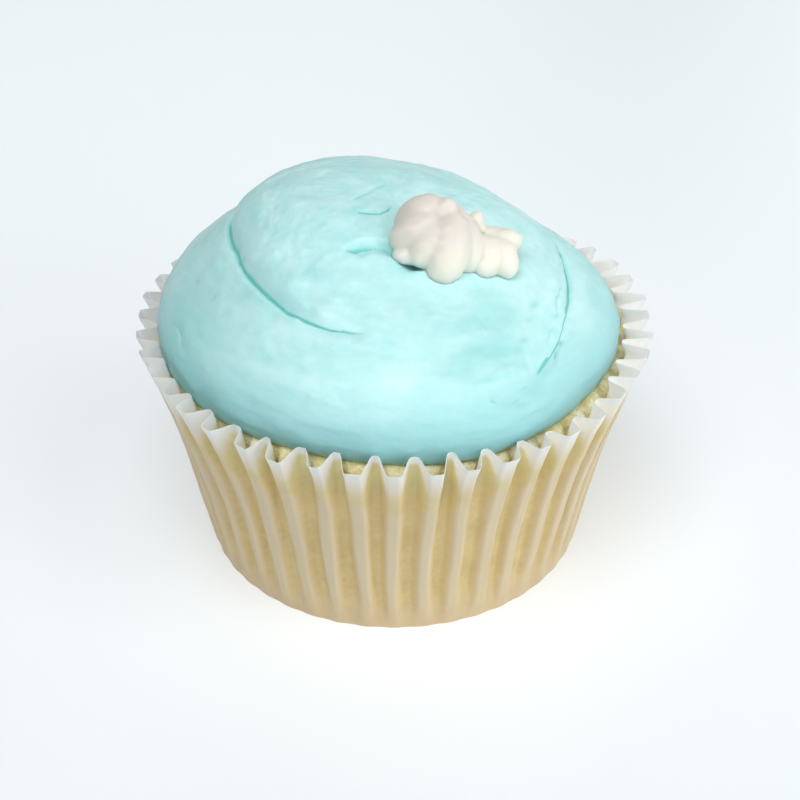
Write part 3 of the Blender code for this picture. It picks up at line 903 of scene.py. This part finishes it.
def make_stage(context):
    """Pale floor, soft lights, a light world and the camera."""
    scene = context.scene
    deselect_all()
    bpy.ops.mesh.primitive_circle_add(vertices=96, radius=1.5, fill_type="NGON")
    floor = bpy.context.active_object
    floor.name = "floor"
    material, tree, shader = new_material("Pale floor")
    away = add(tree, "ShaderNodeVectorMath", {"operation": "LENGTH"}, n0=object_place(tree))
    fade = ramp(tree, away.outputs["Value"], 0.03, 0.12)
    colour = mix_colour(tree, fade, (0.58, 0.62, 0.66, 1.0), (0.58, 0.63, 0.65, 1.0))
    tree.links.new(colour, shader.inputs["Base Color"])
    shader.inputs["Emission Color"].default_value = (0.94, 0.98, 1.0, 1.0)
    shader.inputs["Emission Strength"].default_value = 0.34
    shader.inputs["Roughness"].default_value = 0.35
    shader.inputs["Specular IOR Level"].default_value = 0.3
    floor.data.materials.append(material)
    studio_light("key", -18, 62, 1.40, 0.84)
    studio_light("front_low", 44, 20, 1.20, 0.26)
    studio_light("right", 66, 50, 0.80, 0.14)
    studio_light("right_low", 72, 14, 1.00, 0.20)
    studio_light("back_right", 148, 18, 1.20, 0.12)
    studio_light("back", 190, 28, 1.00, 0.08)
    world = bpy.data.worlds.new("Soft studio")
    world.use_nodes = True
    world.node_tree.nodes["Background"].inputs["Color"].default_value = (0.96, 0.99, 1.0, 1.0)
    world.node_tree.nodes["Background"].inputs["Strength"].default_value = 0.03
    scene.world = world
    camera = bpy.data.cameras.new("camera")
    camera.lens = 72.6
    camera.sensor_width = 36.0
    camera.clip_start = 0.01
    view = bpy.data.objects.new("camera", camera)
    scene.collection.objects.link(view)
    view.location = (0.00073, -0.17526, 0.13919)
    view.rotation_euler = (math.radians(90.0 - 34.77), 0.0, 0.0)
    scene.camera = view
    scene.view_settings.view_transform = "Standard"


# ---------------------------------------------------------------- add-on

def colour_property(name, description, default):
    return FloatVectorProperty(name=name, description=description, subtype="COLOR", size=3,
                               min=0.0, max=1.0, default=default)


class CupcakeSizes(bpy.types.PropertyGroup):
    flutes: IntProperty(name="Flutes", description="Pleats round the paper cup",
                        default=44, min=12, max=80)
    paper_thickness: FloatProperty(name="Paper thickness", description="Of the cup's wall",
                                   default=0.05 * MM, min=0.03 * MM, max=0.4 * MM,
                                   unit="LENGTH", precision=5)
    ledge_drop: FloatProperty(name="Ledge drop", description="Full height of the spiral ledge",
                              default=2.3 * MM, min=0.0, max=4.0 * MM, unit="LENGTH",
                              precision=5)


class CupcakeColours(bpy.types.PropertyGroup):
    rim_paper: colour_property("Rim paper", "Dry paper above the sponge", (0.97, 0.98, 1.0))
    ridge_paper: colour_property("Ridge paper", "Paper ridges off the sponge",
                                 (0.88, 0.70, 0.44))
    soaked_paper: colour_property("Soaked paper", "Paper that touches the sponge",
                                  (0.91, 0.70, 0.31))
    soaked_paper_dark: colour_property("Soaked paper, dark", "Its darker blotches",
                                       (0.83, 0.61, 0.25))
    soaked_paper_high: colour_property("Soaked paper, high", "Soaked paper by the crust",
                                       (0.80, 0.71, 0.33))
    paper_foot: colour_property("Paper foot", "Soaked paper near the base",
                                (0.84, 0.59, 0.37))
    crust: colour_property("Crust", "The sponge's baked crust", (0.74, 0.62, 0.25))
    crust_light: colour_property("Crust, light", "Paler spots of the crust",
                                 (0.90, 0.86, 0.60))
    icing: colour_property("Icing", "Turquoise buttercream", (0.61, 0.89, 0.89))
    icing_deep: colour_property("Icing, deep", "Its slightly deeper patches",
                                (0.42, 0.77, 0.77))
    # Painted shade on the buttercream towards the rim.
    icing_low_shade: colour_property("Icing, low", "Buttercream near the rim",
                               (0.31, 0.62, 0.64))
    # Partly knife scrapes and partly painted shade, in the gap under the rosette's lip and on the left
    # side.
    icing_scrape_and_shade: colour_property("Icing, scraped", "Where the knife scraped it thin",
                                   (0.30, 0.68, 0.66))
    # Painted shade in the buttercream's creases.
    icing_crease_shade: colour_property("Icing creases", "Buttercream down in the creases",
                                  (0.18, 0.60, 0.56))
    cream: colour_property("Cream", "The piped rosette", (0.81, 0.80, 0.71))
    cream_warm: colour_property("Cream, warm", "Warmer patches of the rosette",
                                (0.79, 0.75, 0.66))
    # Painted shade on the rosette's highest swirl.
    cream_top_shade: colour_property("Cream, top", "The rosette's highest swirl",
                               (0.72, 0.68, 0.63))
    # Painted shade between the rosette's lobes.
    cream_crease_shade: colour_property("Cream creases", "Cream between the lobes",
                                  (0.66, 0.68, 0.52))


class PieceOperator(bpy.types.Operator):
    """Common base of the operators that build one piece each"""
    bl_options = {"REGISTER", "UNDO"}
    build = None

    def execute(self, context):
        type(self).build(context)
        return {"FINISHED"}


class CUPCAKE_OT_paper_cup(PieceOperator):
    """Fold the greaseproof paper cup"""
    bl_idname = "cupcake.paper_cup"
    bl_label = "Paper Cup"
    build = staticmethod(make_cup)


class CUPCAKE_OT_sponge(PieceOperator):
    """Bake the vanilla sponge"""
    bl_idname = "cupcake.sponge"
    bl_label = "Sponge"
    build = staticmethod(make_sponge)


class CUPCAKE_OT_buttercream(PieceOperator):
    """Spread the turquoise buttercream"""
    bl_idname = "cupcake.buttercream"
    bl_label = "Buttercream"
    build = staticmethod(make_icing)


class CUPCAKE_OT_rosette(PieceOperator):
    """Pipe the cream rosette"""
    bl_idname = "cupcake.rosette"
    bl_label = "Rosette"
    build = staticmethod(make_rosette)


class CUPCAKE_OT_stage(PieceOperator):
    """Set up the floor, the lights and the camera"""
    bl_idname = "cupcake.stage"
    bl_label = "Stage"
    build = staticmethod(make_stage)


OPERATORS = [CUPCAKE_OT_paper_cup, CUPCAKE_OT_sponge, CUPCAKE_OT_buttercream,
             CUPCAKE_OT_rosette, CUPCAKE_OT_stage]


class CUPCAKE_PT_panel(bpy.types.Panel):
    """Lists the cupcake's pieces, sizes and colours"""
    bl_label = "Iced Cupcake"
    bl_space_type = "VIEW_3D"
    bl_region_type = "UI"
    bl_category = "Cupcake"

    def draw(self, context):
        for operator in OPERATORS:
            self.layout.operator(operator.bl_idname)
        for group in (context.scene.cupcake_sizes, context.scene.cupcake_colours):
            for name in group.bl_rna.properties.keys():
                if name not in ("rna_type", "name"):
                    self.layout.prop(group, name)


CLASSES = [CupcakeSizes, CupcakeColours, *OPERATORS, CUPCAKE_PT_panel]


def register():
    for item in CLASSES:
        bpy.utils.register_class(item)
    bpy.types.Scene.cupcake_sizes = PointerProperty(type=CupcakeSizes)
    bpy.types.Scene.cupcake_colours = PointerProperty(type=CupcakeColours)


def unregister():
    del bpy.types.Scene.cupcake_colours
    del bpy.types.Scene.cupcake_sizes
    for item in reversed(CLASSES):
        bpy.utils.unregister_class(item)


def main():
    register()
    bpy.ops.cupcake.stage()
    bpy.ops.cupcake.paper_cup()
    bpy.ops.cupcake.sponge()
    bpy.ops.cupcake.buttercream()
    bpy.ops.cupcake.rosette()


if __name__ == "__main__":
    main()
